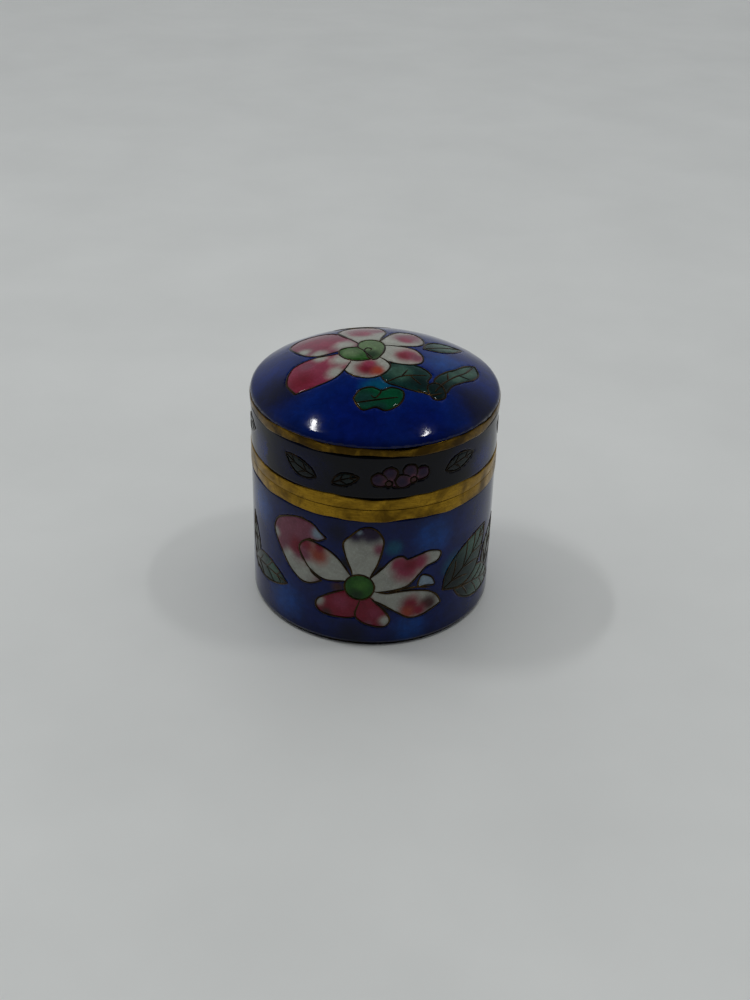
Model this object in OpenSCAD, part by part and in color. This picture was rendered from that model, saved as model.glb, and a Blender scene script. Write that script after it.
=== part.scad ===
// Round cloisonne pill box: a copper base and a copper lift-off lid, each with a brass ring at its
// rim and coloured enamel in wire cells. A thin brass collar on the base guides the lid.
// Units are millimetres, +Z is up and the origin is the centre of the foot, where the box stands.

/* [Overall size] */
// Outer diameter of the enamelled wall
box_d = 32; // [31:0.5:36]
// Height of the base, from the foot to the seam between base and lid
seam_z = 20.8; // [19.6:0.2:24]
// Height of the dome above the lid's shoulder ring
dome_h = 5.4; // [4.4:0.2:7]

/* [Rings] */
// Height of the brass ring at the rim of the base
base_ring_h = 1.6; // [1:0.1:2.4]
// Height of the brass ring at the rim of the lid
lid_ring_h = 1.6; // [1:0.1:2.4]
// Height of the enamel band between the lid's two rings
band_h = 5.8; // [5.4:0.1:6.4]
// Height of the brass ring at the shoulder of the lid
shoulder_ring_h = 1.2; // [0.8:0.1:1.6]
// How far the brass rings stand out from the enamel
ring_proud = 0.08; // [0.04:0.02:0.2]
// Height of the brass foot ring
foot_h = 0.6; // [0.5:0.1:1]

/* [Walls] */
// Thickness of the enamel on the outside
enamel_t = 0.7; // [0.5:0.1:0.8]
// Thickness of the copper sheet of the base
copper_t = 0.6; // [0.5:0.1:0.8]
// Thickness of the enamel lining inside, and of the collar
lining_t = 0.5; // [0.3:0.1:0.6]

/* [Fit of the lid] */
// How far the brass collar stands up into the lid
collar_rise = 4; // [3:0.2:4.2]
// How far the collar reaches down inside the base
collar_grip = 5; // [4:0.5:8]
// Radial clearance between the collar and the lid
collar_gap = 0.08; // [0.04:0.01:0.1]

/* [Decoration] */
// Width of the cell wires
wire_w = 0.3; // [0.2:0.05:0.35]
// How far the wires stand out from the enamel
wire_proud = 0.04; // [0.02:0.01:0.08]
// Radius of the green centre of the flower on the wall
heart_r = 1.8; // [1.6:0.1:1.9]
// Radius of the green centre of the flower on top
top_heart_r = 1.7; // [1.5:0.1:1.8]

/* [Hidden] */

$fn = 96;
eps = 0.01;
copper = "#b06a45";
brass = "#b59a3c";
wire_brass = "#6b5a2e";
cobalt = "#12307c";
lining_blue = "#3f7fb5";
petal_pink = "#c98a93";
bud_pink = "#b0708a";
leaf_green = "#3f6b52";
heart_green = "#5a8a3a";

// Radii, from the outside in
wall_r = box_d / 2;
cup_r = wall_r - enamel_t;
cup_in_r = cup_r - copper_t;
lid_in_r = cup_in_r + collar_gap;
lining_r = cup_in_r - lining_t;
foot_r = wall_r - 0.4;
foot_in_r = foot_r - 1.4;

// Heights, from the foot up
floor_top = foot_h + copper_t;
base_ring_z = seam_z - base_ring_h;
band_z = seam_z + lid_ring_h;
shoulder_z = band_z + band_h;
dome_z = shoulder_z + shoulder_ring_h;
box_h = dome_z + dome_h;
collar_z = seam_z - collar_grip;
lid_lining_z = seam_z + collar_rise + 0.4;
foot_recess = 0.15;

// The dome is a spherical cap that meets the wall in a rounded shoulder of radius turn_r
turn_r = 1;
turn_x = wall_r - turn_r;
cap_r = (turn_x * turn_x + dome_h * dome_h - turn_r * turn_r) / (2 * (dome_h - turn_r));
cap_z = box_h - cap_r;
turn_angle = atan2(dome_z - cap_z, turn_x);

// The flower on the wall is at this height and faces this far round from the front, in degrees.
// A second one is on the back.
flower_z = 9.2;
flower_turns = [-5, 175];
// Petals round the flower's centre: direction, length and width
wall_petals = [
    [87, 7.2, 4.6], [24, 7.4, 4.2], [-19, 7.8, 4.0],
    [-66, 4.2, 3.4], [-138, 4.4, 3.6], [156, 5, 4.2]
];
// The bud, from the flower's centre: x and y of its base, direction, length and width
wall_bud = [-8.2, -0.9, 112, 9.6, 4.4];
// Leaves on the wall: how far round, height, direction, length and width
wall_leaves = [
    [-56, 6.3, 10, 7.6, 2.6], [51, 9.4, 64, 9.4, 3.2], [63, 6.2, 36, 5.2, 2.2],
    [124, 6.3, 10, 7.6, 2.6], [231, 9.4, 64, 9.4, 3.2], [243, 6.2, 36, 5.2, 2.2]
];

// The flower on top: x and y of its centre, then the petals round it and the leaves near it
top_x = -1.4;
top_y = 0.1;
top_petals = [
    [86, 5.8, 4.6], [36, 5.2, 3.8], [-12, 4.6, 3.4], [-86, 4.2, 3.8], [-143, 7.0, 5.0], [151, 7.2, 5.2]
];
// Leaves on top: x and y of the base, direction, length and width
top_leaves = [
    [-2.6, -10.6, 6, 5.8, 3.4], [1.5, -8.0, 32, 6.0, 3.6], [7.4, -8.0, 61, 10.2, 3.2],
    [6.6, 1.8, 42, 6.2, 2.8], [-5.2, 10.2, 24, 6.0, 2.6]
];

// Sprigs round the band of the lid: how far round each is, then its blossoms and leaves from there
band_mid_z = band_z + band_h / 2;
sprig_turns = [12, 132, 252];
// Blossoms: how far round and height above the middle of the band
band_blossoms = [[-5, -0.9], [6, -0.5]];
// The petals of a blossom, each with its direction, length and width
blossom_petals = [[20, 2.0, 1.5], [90, 2.2, 1.7], [160, 2.0, 1.5]];
blossom_r = 0.1;
// Leaves of a sprig: how far round, direction, length and width
band_leaves = [[-46, 158, 4.8, 2.3], [30, 12, 4.8, 2.3]];

// ---- outlines of the cells, each grown outwards by grow ----

// A leaf from the origin along +X with pointed ends: two arcs that cross
module leaf_shape(length, width, grow = 0) {
    arc_r = (length * length + width * width) / (4 * width);
    intersection_for (side = [-1, 1])
        translate([length / 2, side * (arc_r - width / 2)]) circle(r = arc_r + grow);
}

// A leaf that a wire along its middle splits in two
module split_leaf(length, width) {
    difference() {
        leaf_shape(length, width);
        translate([-length / 2, -wire_w / 2]) square([2 * length, wire_w]);
    }
}

// A petal from the origin along +X: a leaf cut across by a round outer edge
module petal_shape(length, width, grow = 0) {
    intersection() {
        leaf_shape(1.4 * length, width, grow);
        translate([0.4 * length, 0]) circle(r = 0.6 * length + grow);
    }
}

// Petals round a centre of radius r, with room for the wires between
module petals(list, r, grow = 0) {
    for (p = list) rotate(p[0]) translate([r + 2 * wire_w, 0]) petal_shape(p[1], p[2], grow);
}

module bud_shape(grow = 0) {
    translate([wall_bud[0], wall_bud[1]]) rotate(wall_bud[2]) leaf_shape(wall_bud[3], wall_bud[4], grow);
}

module wall_flower_wires() {
    difference() {
        union() {
            petals(wall_petals, heart_r, wire_w);
            circle(r = heart_r + wire_w);
            bud_shape(wire_w);
        }
        petals(wall_petals, heart_r);
        circle(r = heart_r);
        bud_shape();
    }
}

module top_petal_cells(grow = 0) {
    translate([top_x, top_y]) petals(top_petals, top_heart_r, grow);
}

module top_heart_cell(grow = 0) {
    translate([top_x, top_y]) circle(r = top_heart_r + grow);
}

module top_leaf_cells() {
    for (l = top_leaves) translate([l[0], l[1]]) rotate(l[2]) split_leaf(l[3], l[4]);
}

module top_outline() {
    top_petal_cells(wire_w);
    top_heart_cell(wire_w);
    for (l = top_leaves) translate([l[0], l[1]]) rotate(l[2]) leaf_shape(l[3], l[4], wire_w);
}

// ---- placing outlines on the wall and the dome ----

// Carries a flat outline straight out through the wall, some way round and up
module through_wall(turn, z) {
    rotate(turn) translate([0, 0, z]) rotate([90, 0, 0]) linear_extrude(box_d) children();
}

module through_dome() {
    translate([0, 0, shoulder_z]) linear_extrude(box_h) children();
}

module wall_leaf_cells() {
    for (l = wall_leaves)
        through_wall(l[0], l[1]) rotate(l[2]) translate([-l[3] / 2, 0]) split_leaf(l[3], l[4]);
}

module wall_leaf_outlines() {
    for (l = wall_leaves)
        through_wall(l[0], l[1]) rotate(l[2]) translate([-l[3] / 2, 0]) leaf_shape(l[3], l[4], wire_w);
}

module band_blossom_cells(grow = 0) {
    for (turn = sprig_turns, b = band_blossoms)
        through_wall(turn + b[0], band_mid_z + b[1]) petals(blossom_petals, blossom_r, grow);
}

module band_leaf_cells() {
    for (turn = sprig_turns, l = band_leaves)
        through_wall(turn + l[0], band_mid_z) rotate(l[1]) translate([-l[2] / 2, 0])
            split_leaf(l[2], l[3]);
}

module band_leaf_outlines() {
    for (turn = sprig_turns, l = band_leaves)
        through_wall(turn + l[0], band_mid_z) rotate(l[1]) translate([-l[2] / 2, 0])
            leaf_shape(l[2], l[3], wire_w);
}

// ---- solids of revolution ----

module tube(r_out, r_in, z, h) {
    translate([0, 0, z]) difference() {
        cylinder(r = r_out, h = h);
        translate([0, 0, -eps]) cylinder(r = r_in, h = h + 2 * eps);
    }
}

// The space under the dome's outer surface moved inwards by depth, from height z up
module dome_space(depth, z) {
    side_r = max(turn_r - depth, 0);
    cap_edge = side_r > 0 ? turn_x + side_r * cos(turn_angle) : wall_r - depth;
    rotate_extrude() {
        intersection() {
            translate([0, cap_z]) circle(r = cap_r - depth, $fn = 4 * $fn);
            translate([0, z]) square([cap_edge, box_h]);
        }
        if (side_r > 0) intersection() {
            translate([turn_x, dome_z]) circle(r = side_r);
            translate([turn_x, dome_z]) square(side_r + eps);
        }
        if (z < dome_z) translate([0, z]) square([wall_r - depth, dome_z - z]);
    }
}

module dome_shell(out_depth, in_depth, z) {
    difference() {
        dome_space(out_depth, z);
        dome_space(in_depth, z - eps);
    }
}

module wall_shell(proud = 0) {
    tube(wall_r + proud, cup_r, foot_h, base_ring_z - foot_h);
}

module band_shell(proud = 0) {
    tube(wall_r + proud, cup_r, band_z, band_h);
}

module top_shell(proud = 0) {
    dome_shell(-proud, enamel_t, dome_z);
}

// ---- base ----

module base_cup() {
    color(copper) difference() {
        translate([0, 0, foot_h]) cylinder(r = cup_r, h = base_ring_z - foot_h);
        translate([0, 0, floor_top]) cylinder(r = cup_in_r, h = seam_z);
    }
}

module base_collar() {
    color(brass) tube(cup_in_r, lining_r, collar_z, collar_grip + collar_rise);
}

module base_rim_ring() {
    color(brass) tube(wall_r + ring_proud, cup_in_r, base_ring_z, base_ring_h);
}

module base_foot_ring() {
    color(brass) tube(foot_r, foot_in_r, 0, foot_h);
}

module base_lining_enamel() {
    color(lining_blue) difference() {
        translate([0, 0, floor_top]) cylinder(r = cup_in_r, h = collar_z - floor_top);
        translate([0, 0, floor_top + lining_t]) cylinder(r = lining_r, h = seam_z);
    }
}

module base_floor_enamel() {
    color(lining_blue) translate([0, 0, foot_recess]) cylinder(r = foot_in_r, h = foot_h - foot_recess);
}

module base_wall_enamel() {
    color(cobalt) difference() {
        wall_shell();
        for (turn = flower_turns) {
            through_wall(turn, flower_z) petals(wall_petals, heart_r, wire_w);
            through_wall(turn, flower_z) circle(r = heart_r + wire_w);
            through_wall(turn, flower_z) bud_shape(wire_w);
        }
        wall_leaf_outlines();
    }
}

module base_petal_enamel() {
    color(petal_pink) intersection() {
        wall_shell();
        union() for (turn = flower_turns) through_wall(turn, flower_z) petals(wall_petals, heart_r);
    }
}

module base_bud_enamel() {
    color(bud_pink) intersection() {
        wall_shell();
        union() for (turn = flower_turns) through_wall(turn, flower_z) bud_shape();
    }
}

module base_leaf_enamel() {
    color(leaf_green) intersection() {
        wall_shell();
        wall_leaf_cells();
    }
}

module base_flower_centre_enamel() {
    color(heart_green) intersection() {
        wall_shell();
        union() for (turn = flower_turns) through_wall(turn, flower_z) circle(r = heart_r);
    }
}

module base_wires() {
    color(wire_brass) {
        intersection() {
            wall_shell(wire_proud);
            union() for (turn = flower_turns) through_wall(turn, flower_z) wall_flower_wires();
        }
        difference() {
            intersection() {
                wall_shell(wire_proud);
                wall_leaf_outlines();
            }
            wall_leaf_cells();
        }
    }
}

// ---- lid ----

module lid_dome() {
    color(copper) dome_shell(enamel_t, wall_r - lid_in_r, band_z);
}

module lid_rim_ring() {
    color(brass) tube(wall_r + ring_proud, lid_in_r, seam_z, lid_ring_h);
}

module lid_shoulder_ring() {
    color(brass) tube(wall_r + ring_proud, cup_r, shoulder_z, shoulder_ring_h);
}

module lid_lining_enamel() {
    color(lining_blue) dome_shell(wall_r - lid_in_r, wall_r - lid_in_r + lining_t, lid_lining_z);
}

module lid_top_enamel() {
    color(cobalt) difference() {
        top_shell();
        through_dome() top_outline();
    }
}

module lid_top_petal_enamel() {
    color(petal_pink) intersection() {
        top_shell();
        through_dome() top_petal_cells();
    }
}

module lid_top_leaf_enamel() {
    color(leaf_green) intersection() {
        top_shell();
        through_dome() top_leaf_cells();
    }
}

module lid_top_flower_centre_enamel() {
    color(heart_green) intersection() {
        top_shell();
        through_dome() top_heart_cell();
    }
}

module lid_top_wires() {
    color(wire_brass) intersection() {
        top_shell(wire_proud);
        through_dome() difference() {
            top_outline();
            top_petal_cells();
            top_heart_cell();
            top_leaf_cells();
        }
    }
}

module lid_band_enamel() {
    color(cobalt) difference() {
        band_shell();
        band_blossom_cells(wire_w);
        band_leaf_outlines();
    }
}

module lid_band_petal_enamel() {
    color(petal_pink) intersection() {
        band_shell();
        band_blossom_cells();
    }
}

module lid_band_leaf_enamel() {
    color(leaf_green) intersection() {
        band_shell();
        band_leaf_cells();
    }
}

module lid_band_wires() {
    color(wire_brass) difference() {
        intersection() {
            band_shell(wire_proud);
            union() {
                band_blossom_cells(wire_w);
                band_leaf_outlines();
            }
        }
        band_blossom_cells();
        band_leaf_cells();
    }
}

base_cup();
base_collar();
base_rim_ring();
base_foot_ring();
base_lining_enamel();
base_floor_enamel();
base_wall_enamel();
base_petal_enamel();
base_bud_enamel();
base_leaf_enamel();
base_flower_centre_enamel();
base_wires();
lid_dome();
lid_rim_ring();
lid_shoulder_ring();
lid_lining_enamel();
lid_top_enamel();
lid_top_petal_enamel();
lid_top_leaf_enamel();
lid_top_flower_centre_enamel();
lid_top_wires();
lid_band_enamel();
lid_band_petal_enamel();
lid_band_leaf_enamel();
lid_band_wires();
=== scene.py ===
import math

import bmesh
import bpy
import numpy as np
from mathutils import Matrix, Vector, noise
from mathutils.geometry import delaunay_2d_cdt
from mathutils.kdtree import KDTree


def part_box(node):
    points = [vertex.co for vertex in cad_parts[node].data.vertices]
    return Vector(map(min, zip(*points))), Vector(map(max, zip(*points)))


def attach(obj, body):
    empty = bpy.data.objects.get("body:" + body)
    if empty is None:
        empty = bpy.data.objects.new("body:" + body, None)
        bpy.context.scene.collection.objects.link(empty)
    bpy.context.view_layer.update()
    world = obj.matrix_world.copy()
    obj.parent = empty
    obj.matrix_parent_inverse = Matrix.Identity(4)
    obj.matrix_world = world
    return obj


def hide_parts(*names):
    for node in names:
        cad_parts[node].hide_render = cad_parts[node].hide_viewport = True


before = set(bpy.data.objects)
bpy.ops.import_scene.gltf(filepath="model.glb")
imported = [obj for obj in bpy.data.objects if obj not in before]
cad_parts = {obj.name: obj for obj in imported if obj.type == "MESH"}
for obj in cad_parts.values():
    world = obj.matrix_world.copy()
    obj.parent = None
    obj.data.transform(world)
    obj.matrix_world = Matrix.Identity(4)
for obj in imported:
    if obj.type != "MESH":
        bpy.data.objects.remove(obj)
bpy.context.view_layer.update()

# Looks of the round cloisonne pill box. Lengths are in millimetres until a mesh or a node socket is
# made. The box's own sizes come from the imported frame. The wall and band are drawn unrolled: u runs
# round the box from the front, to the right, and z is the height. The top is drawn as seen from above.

MM = 0.001


def heights(node):
    low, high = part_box(node)
    return low.z / MM, high.z / MM


def outer_radius(node):
    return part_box(node)[1].x / MM


# ---- sizes from the frame ----

WALL_R = outer_radius("base_wall_enamel")
RING_R = outer_radius("base_rim_ring")
CUP_R = outer_radius("base_cup")
COLLAR_R = outer_radius("base_collar")
LID_IN_R = outer_radius("lid_lining_enamel")
FOOT_R = outer_radius("base_foot_ring")
FOOT_IN_R = outer_radius("base_floor_enamel")
WALL_Z, WALL_TOP = heights("base_wall_enamel")
SEAM_Z = heights("base_rim_ring")[1]
BAND_Z, BAND_TOP = heights("lid_band_enamel")
WIRE_PROUD = outer_radius("lid_band_wires") - WALL_R
DOME_Z = heights("lid_top_enamel")[0]
DOME_TOP = heights("lid_top_wires")[1] - WIRE_PROUD
COLLAR_Z, COLLAR_TOP = heights("base_collar")
LINING_Z = heights("base_lining_enamel")[0]
LID_LINING_Z = heights("lid_lining_enamel")[0]
FLOOR_Z, FLOOR_TOP = heights("base_floor_enamel")
ENAMEL_T = WALL_R - CUP_R
ROUND = 2 * math.pi * WALL_R

# The thickness of the linings and of the collar's sheet, which the frame's boxes don't show
LINING_T = 0.5

# The dome is a spherical cap that turns down into the wall with a small radius
TURN_R = 1.0
TURN_X = WALL_R - TURN_R
DOME_H = DOME_TOP - DOME_Z
CAP_R = (TURN_X**2 + DOME_H**2 - TURN_R**2) / (2 * (DOME_H - TURN_R))
CAP_Z = DOME_TOP - CAP_R
TURN_ANGLE = math.atan2(DOME_Z - CAP_Z, TURN_X)
CAP_EDGE = TURN_X + TURN_R * math.cos(TURN_ANGLE)
DOME_EDGE = CAP_EDGE + TURN_R * TURN_ANGLE

# Wires: half their width, how far they reach into the enamel, and the round of their upper edge
WIRE_HALF = 0.12
WIRE_DEEP = 0.3
WIRE_EDGE = 0.006
WIRE_CREST = 0.55
WIRE_SHOULDER = 0.8

# Meshes: spacing of curves and of the enamel's grid, the grid's row height, and what merges
STEP = 0.16
GRID = 0.36
ROW_HEIGHT = 0.866
CLEAR_OF_LINES = 0.55 * GRID
BORDER_POINTS = 300
MERGE = 1e-5
WELD = 0.004
TINY = 1e-9

# Enamel: the dip beside a wire, and the long and short waves of its face as (size, depth)
DIP = 0.018
DIP_WIDTH = 0.22
LONG_WAVE = (3.4, 0.016)
SHORT_WAVE = (1.1, 0.004)
SKIN_GAP = 0.04

# Tints: reach and softness of a spot, how its edge breaks up, cloudiness, and the painted shade at a border,
# where the enamel meets a ring
SPREAD = 1.3
SPOT_SOLID = 1.25
EDGE_BREAK = 0.13
CLOUDINESS = 0.10
CLOUD_SIZE = 0.9
BORDER_SHADE = 0.5
BORDER_REACH = 0.9

# Turned metal and linings: edge rounding, hand-ground edges, and points round the axis
ARC_STEPS = 4
EDGE_R = 0.16
CREASE_R = 0.05
GROUND_EDGE = 0.45
RING_POINTS = 256
LINING_POINTS = 180


# ---- colours, as linear RGB ----

def srgb(r, g, b):
    return tuple((c / 255 / 12.92) if c <= 10 else ((c / 255 + 0.055) / 1.055) ** 2.4 for c in (r, g, b))


COBALT = srgb(5, 33, 104)
DEEP_BLUE = srgb(3, 24, 98)
WALL_BLUE = srgb(4, 26, 88)
NAVY = srgb(4, 12, 52)
MIDNIGHT = srgb(2, 5, 18)
INK = srgb(5, 7, 16)
BROWN = srgb(64, 34, 34)
AZURE = srgb(8, 62, 136)
TURQUOISE = srgb(6, 78, 108)
CREAM = srgb(160, 162, 153)
ROSE = srgb(134, 48, 72)
RED = srgb(120, 26, 46)
ORANGE = srgb(146, 62, 46)
DUSTY = srgb(122, 64, 82)
PLUM = srgb(34, 16, 50)
MAUVE = srgb(70, 38, 54)
PALE_BLUE = srgb(126, 144, 160)
LEAF = srgb(20, 54, 50)
LEAF_LIGHT = srgb(58, 92, 78)
LEAF_DARK = srgb(10, 30, 30)
BAND_LEAF = srgb(8, 22, 26)
GRASS = srgb(6, 70, 44)
HEART = srgb(34, 84, 22)
HEART_PALE = srgb(92, 118, 78)
HEART_DARK = srgb(18, 50, 16)
HEART_MID = srgb(56, 106, 36)


# ---- surfaces: where a drawn point lies in space, h above the enamel ----

def on_wall(points, h):
    u, z = points[:, 0] / WALL_R, points[:, 1]
    r = WALL_R + h
    return np.stack([r * np.sin(u), -r * np.cos(u), z], 1)


def on_dome(points, h):
    rho = np.maximum(np.hypot(points[:, 0], points[:, 1]), TINY)
    across = np.minimum(rho, CAP_EDGE) / CAP_R
    cap_n = np.stack([across, np.sqrt(1 - across**2)], 1)
    angle = np.maximum(TURN_ANGLE - (rho - CAP_EDGE) / TURN_R, 0)
    turn_n = np.stack([np.cos(angle), np.sin(angle)], 1)
    on_cap = (rho <= CAP_EDGE)[:, None]
    normal = np.where(on_cap, cap_n, turn_n)
    place = np.where(on_cap, CAP_R * cap_n + [0, CAP_Z], TURN_R * turn_n + [TURN_X, DOME_Z])
    place[:, 1] -= np.maximum(rho - DOME_EDGE, 0)
    place = place + normal * np.asarray(h)[..., None]
    r, z = place.T
    return np.stack([r * points[:, 0] / rho, r * points[:, 1] / rho, z], 1)


# ---- outlines ----

def span(a, b, c, d):
    """Close samples of the curve from b to c, with a before and d after."""
    length = np.linalg.norm(c - b)
    if length < TINY:
        return []
    steps = max(2, round(length / STEP))
    return [0.5 * (2 * b + (c - a) * t + (2 * a - 5 * b + 4 * c - d) * t**2 + (3 * b - a - 3 * c + d) * t**3)
            for t in np.arange(0, 1, 1 / steps)[:, None]]


def smooth_loop(points):
    """A closed curve through the points, as close samples. A point given twice is a corner."""
    p = np.array(points, float)
    around = zip(np.roll(p, 1, 0), p, np.roll(p, -1, 0), np.roll(p, -2, 0))
    return np.array([sample for corners in around for sample in span(*corners)])


def counter_clockwise(loop):
    x, y = loop.T
    area = (x * np.roll(y, -1) - np.roll(x, -1) * y).sum()
    return loop if area > 0 else loop[::-1]


def smooth_line(points):
    """An open curve through the points, as close samples."""
    p = np.array(points, float)
    ends = np.vstack([2 * p[0] - p[1], p, 2 * p[-1] - p[-2]])
    along = zip(ends, ends[1:], ends[2:], ends[3:])
    return np.vstack([sample for corners in along for sample in span(*corners)] + [p[-1]])


def ring_of(radius, count=24):
    turn = np.linspace(0, 2 * math.pi, count, endpoint=False)
    return np.stack([radius * np.cos(turn), radius * np.sin(turn)], 1)


def leaf_points(length, width, bend):
    """A leaf along +X, pointed at both ends and bowed sideways by bend."""
    t = np.linspace(0, 1, 9)
    half = width / 2 * np.sin(math.pi * t) ** 0.75 * (1.12 - 0.3 * t)
    middle = bend * np.sin(math.pi * t)
    upper = np.stack([length * (t - 0.5), middle + half], 1)
    lower = np.stack([length * (t - 0.5), middle - half], 1)[::-1]
    return np.vstack([upper, lower])


def leaf_veins(length, width, bend, pairs):
    """A leaf's midrib, and pairs of veins that leave it at a slant."""
    t = np.linspace(0, 1, 7)
    veins = [np.stack([length * (t - 0.5), bend * np.sin(math.pi * t)], 1)]
    for k in range(pairs):
        at = (k + 0.7) / (pairs + 0.6)
        root = np.array([length * (at - 0.5), bend * math.sin(math.pi * at)])
        reach = width * 0.42 * math.sin(math.pi * min(at + 0.12, 1)) ** 0.75
        for side in (-1, 1):
            tip = root + [reach * 1.1, side * reach]
            veins.append(np.stack([root, (root + tip) / 2 + [0.12 * reach, 0], tip]))
    return veins


def turned(points, degrees):
    a = math.radians(degrees)
    x, y = np.array(points, float).T
    return np.stack([x * math.cos(a) - y * math.sin(a), x * math.sin(a) + y * math.cos(a)], 1)


def to_wall(points, turn, z):
    """A flat drawing projected straight onto the wall, turn degrees round and z up."""
    p = np.array(points, float)
    across = np.clip(p[:, 0] / WALL_R, -0.98, 0.98)
    return np.stack([WALL_R * (math.radians(turn) + np.arcsin(across)), p[:, 1] + z], 1)


def placer(turn, z, spin=0):
    """What puts a flat drawing on the wall, turn degrees round and z up, once it is spun."""
    return lambda points: to_wall(turned(points, spin), turn, z)


# ---- the drawing: cells of enamel, from the lowest to the one on top ----

class Cell:
    """One cell: what it is made of, its outline, its colour, and soft spots of other colours."""

    def __init__(self, kind, outline, colour, spots):
        self.kind, self.outline, self.colour, self.spots = kind, outline, colour, spots


class Drawing:
    """The cells and the extra wires of one surface."""

    def __init__(self):
        self.cells, self.wires, self.ground_spots = [], [], []

    def cell(self, kind, points, colour, spots, move):
        outline = counter_clockwise(move(smooth_loop(points)))
        self.cells.append(Cell(kind, outline, colour, self.placed(spots, move)))

    def wire(self, points, move):
        self.wires.append((len(self.cells), move(smooth_line(points))))

    def ground(self, spots, move):
        self.ground_spots += self.placed(spots, move)

    def placed(self, spots, move):
        return [(move(np.array([[x, y]]))[0], r, colour) for x, y, r, colour in spots]


# The flower on the wall, about its green centre. Spots are (x, y, radius, colour).
FLOWER_TURN = -5
FLOWER_Z = 9.2
WALL_BUD = [(-11.4, 5.4), (-10.6, 7.2), (-8.2, 8.5), (-6.2, 8.3), (-5.2, 7.4), (-4.3, 6.6), (-4.3, 6.6),
            (-5.4, 5.9), (-6.6, 5.8), (-7.8, 4.6), (-7.6, 2.8), (-6.6, 1.8), (-6.3, 1.0), (-4.9, 0.1),
            (-4.9, 0.1), (-6.4, -0.8), (-7.8, -0.8), (-9.2, 0.4), (-10.2, 2.0), (-11.1, 3.8)]
WALL_BUD_SPOTS = [(-8.6, 0.2, 1.9, CREAM), (-7.0, 0.4, 1.6, CREAM), (-9.4, 1.8, 1.2, CREAM),
                  (-11.2, 4.6, 0.7, CREAM), (-5.3, 7.0, 0.9, PALE_BLUE), (-8.2, 4.2, 1.2, RED)]
WALL_PETALS = [
    # left
    ([(-1.2, 0.9), (-4.4, 0.4), (-6.2, 1.2), (-7.2, 2.4), (-7.9, 4.2), (-6.8, 5.6), (-4.8, 5.3), (-3.2, 4.4),
      (-2.0, 3.0), (-0.9, 1.2)], CREAM,
     [(-7.1, 4.7, 1.5, RED), (-5.3, 3.9, 1.3, ORANGE), (-7.3, 3.3, 1.0, DUSTY), (-5.2, 5.1, 0.7, RED)]),
    # top
    ([(-0.6, 1.0), (-1.1, 2.6), (-1.8, 4.6), (-2.1, 6.4), (-1.2, 7.6), (0.3, 8.9), (1.8, 8.8), (2.9, 7.2),
      (2.7, 5.2), (2.0, 3.0), (0.9, 1.0)], CREAM,
     [(2.6, 5.8, 0.9, DUSTY), (-0.5, 8.0, 1.2, PLUM), (1.8, 8.0, 1.2, PLUM), (0.5, 8.8, 1.7, PLUM),
      (-0.2, 8.3, 0.4, PALE_BLUE)]),
    # upper right
    ([(0.9, 0.8), (2.8, 2.9), (4.1, 4.3), (5.2, 4.6), (5.9, 4.0), (5.9, 4.0), (7.2, 4.4), (8.6, 4.7),
      (9.9, 4.1), (9.6, 2.9), (8.2, 2.4), (7.2, 1.2), (6.0, 0.0), (4.2, -0.5), (1.2, -0.6)], CREAM,
     [(5.8, 2.6, 1.8, ROSE), (7.4, 3.5, 1.2, ROSE), (4.8, 3.6, 0.9, ROSE), (6.3, 3.2, 0.9, RED),
      (9.4, 3.8, 0.7, CREAM)]),
    # lower right
    ([(1.2, -0.5), (3.4, -0.9), (5.0, -0.8), (6.8, -0.9), (8.6, -1.5), (9.7, -2.6), (10.2, -3.9),
      (10.2, -3.9), (8.9, -4.6), (7.6, -5.1), (6.2, -5.0), (4.8, -4.0), (3.2, -2.8), (0.9, -1.3)], CREAM,
     [(6.5, -3.1, 1.4, RED), (6.1, -4.2, 1.0, ORANGE), (8.7, -3.4, 1.2, BROWN), (7.6, -4.2, 0.9, RED)]),
    # lower left
    ([(-1.0, -0.4), (-2.9, -1.1), (-4.4, -2.0), (-5.5, -3.0), (-5.6, -4.2), (-4.6, -4.9), (-2.8, -5.0),
      (-1.0, -4.8), (0.4, -4.0), (0.6, -2.6), (0.2, -0.8)], RED,
     [(-5.4, -3.0, 0.8, CREAM), (-4.2, -4.7, 0.7, BROWN), (-2.4, -2.6, 1.0, ROSE)]),
    # bottom
    ([(0.6, -0.9), (2.2, -2.4), (3.6, -4.2), (3.9, -5.3), (3.2, -6.1), (1.6, -5.9), (0.1, -5.2), (-0.5, -4.2),
      (0.0, -2.4)], RED,
     [(3.4, -5.2, 0.8, CREAM), (2.0, -4.0, 0.8, ROSE), (1.2, -5.6, 0.5, DUSTY)]),
]
WALL_GROUND_SPOTS = [
    (4.2, 6.0, 1.0, TURQUOISE), (-1.0, -7.4, 2.0, NAVY), (9.0, 6.8, 2.4, AZURE), (-2.8, 7.8, 1.5, NAVY),
    (-10.0, -5.0, 2.6, AZURE), (11.8, 1.0, 1.8, TURQUOISE), (-1.8, 3.4, 0.9, INK), (2.5, 2.8, 0.8, INK),
    (5.8, -0.6, 0.9, INK), (-2.8, -0.4, 0.8, BROWN), (3.2, -3.2, 0.9, INK), (6.5, -7.0, 2.0, AZURE),
    (-13.5, 7.0, 2.4, AZURE)
]
WALL_PATCH = [(7.7, 1.2), (8.9, 0.6), (9.3, -0.7), (8.2, -0.5), (7.3, -0.4)]
WALL_TENDRIL = [(3.6, -0.85), (5.4, -0.45), (7.2, -0.5), (8.8, -1.0)]
HEART_R = 1.9
HEART_SPOTS = [(0.2, 0.3, 0.8, HEART_MID), (-0.4, -1.2, 0.9, HEART_DARK)]

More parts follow.
